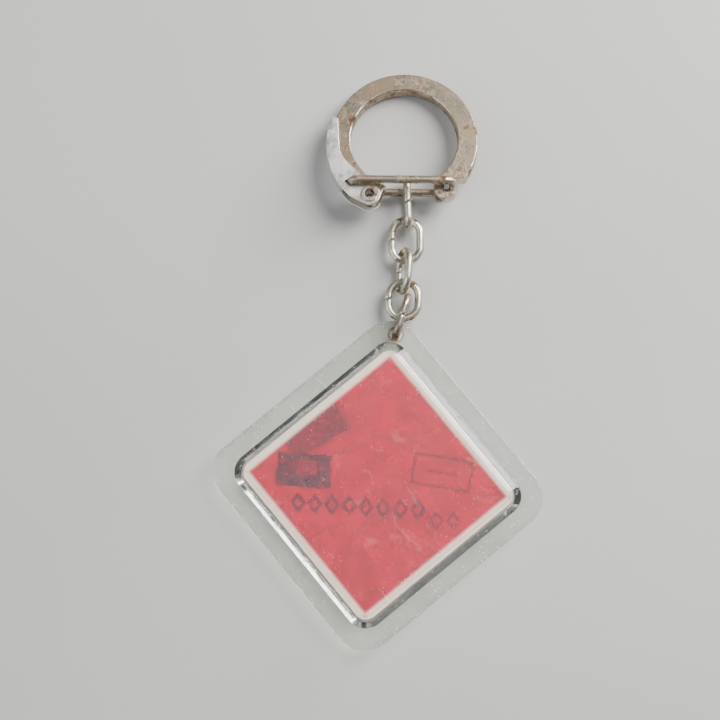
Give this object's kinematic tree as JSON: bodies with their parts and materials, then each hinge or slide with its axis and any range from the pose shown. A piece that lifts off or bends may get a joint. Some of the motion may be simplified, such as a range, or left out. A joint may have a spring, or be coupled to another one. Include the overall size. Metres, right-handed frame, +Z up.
{
  "type": "keychain",
  "caption": "Keychain: a lever-locked ring clasp with a wire bail, a short link chain and a clear square fob that hangs from one corner and holds printed cards.",
  "frame": {"origin": "bottom centre of the bounding box of the object laid on its back", "axes": "+Y from the fob towards the ring clasp, +X to the right seen from the front, +Z up out of the fob's front face"},
  "size_m": [0.0522, 0.0932, 0.0079],
  "materials": {
    "ring_metal": "worn nickel plate, tan where it has gone",
    "lever_metal": "bright nickel plate",
    "bail_wire": "nickel plate with brown rust",
    "chain_wire": "worn nickel plate",
    "clear_plastic": "clear moulded plastic, scuffed and hazy",
    "printed_card": "red printed card"
  },
  "bodies": {
    "clasp": {"clasp_ring": "ring_metal", "clasp_rivet": "lever_metal"},
    "lever": {"clasp_lever": "lever_metal"},
    "bail": {"clasp_bail": "bail_wire"},
    "hanger": {"hanger_link": "chain_wire"},
    "link_1": {"chain_link_1": "chain_wire"},
    "link_2": {"chain_link_2": "chain_wire"},
    "link_3": {"chain_link_3": "chain_wire"},
    "fob_ring": {"fob_link": "chain_wire"},
    "fob": {"front_shell": "clear_plastic", "back_shell": "clear_plastic", "front_card": "printed_card", "back_card": "printed_card"}
  },
  "joints": [
    {"name": "bail_hinge", "type": "hinge", "parent": "bail", "child": "lever", "pos_m": [-0.0041, 0.02751, 0.00458], "axis": [0, -0.1759, -0.9844], "range_deg": [-95.95, 0]},
    {"name": "lever_hinge", "type": "hinge", "parent": "lever", "child": "clasp", "pos_m": [-0.00125, 0.02544, 0.00495], "axis": [0, -0.1759, -0.9844], "range_deg": [0, 115]},
    {"name": "hanger_swing", "type": "hinge", "parent": "bail", "child": "hanger", "pos_m": [0.0048, 0.02693, 0.00199], "axis": [0.9999, -0.0121, 0.0022], "range_deg": [-45, 120]},
    {"name": "link_1_swing", "type": "hinge", "parent": "hanger", "child": "link_1", "pos_m": [0.00507, 0.02071, 0.00262], "axis": [0, 0, 1], "range_deg": [-60, 60]},
    {"name": "link_2_swing", "type": "hinge", "parent": "link_1", "child": "link_2", "pos_m": [0.0046, 0.0156, 0.0024], "axis": [-1, 0.0035, 0], "range_deg": [-30, 60]},
    {"name": "link_3_swing", "type": "hinge", "parent": "link_2", "child": "link_3", "pos_m": [0.004, 0.01062, 0.0028], "axis": [-0.3248, 0.0227, -0.9455], "range_deg": [-60, 15]},
    {"name": "fob_link_swing", "type": "hinge", "parent": "link_3", "child": "fob_ring", "pos_m": [0.00404, 0.00621, 0.0024], "axis": [-0.9988, 0.0488, 0], "range_deg": [-60, 60]},
    {"name": "fob_swing", "type": "hinge", "parent": "fob_ring", "child": "fob", "pos_m": [0.00284, 0.00308, 0.00265], "axis": [0, 0, 1], "range_deg": [-20, 30]}
  ],
  "couplings": [
    {"joint": "bail_hinge", "follows": "lever_hinge", "ratio": -0.83}
  ]
}
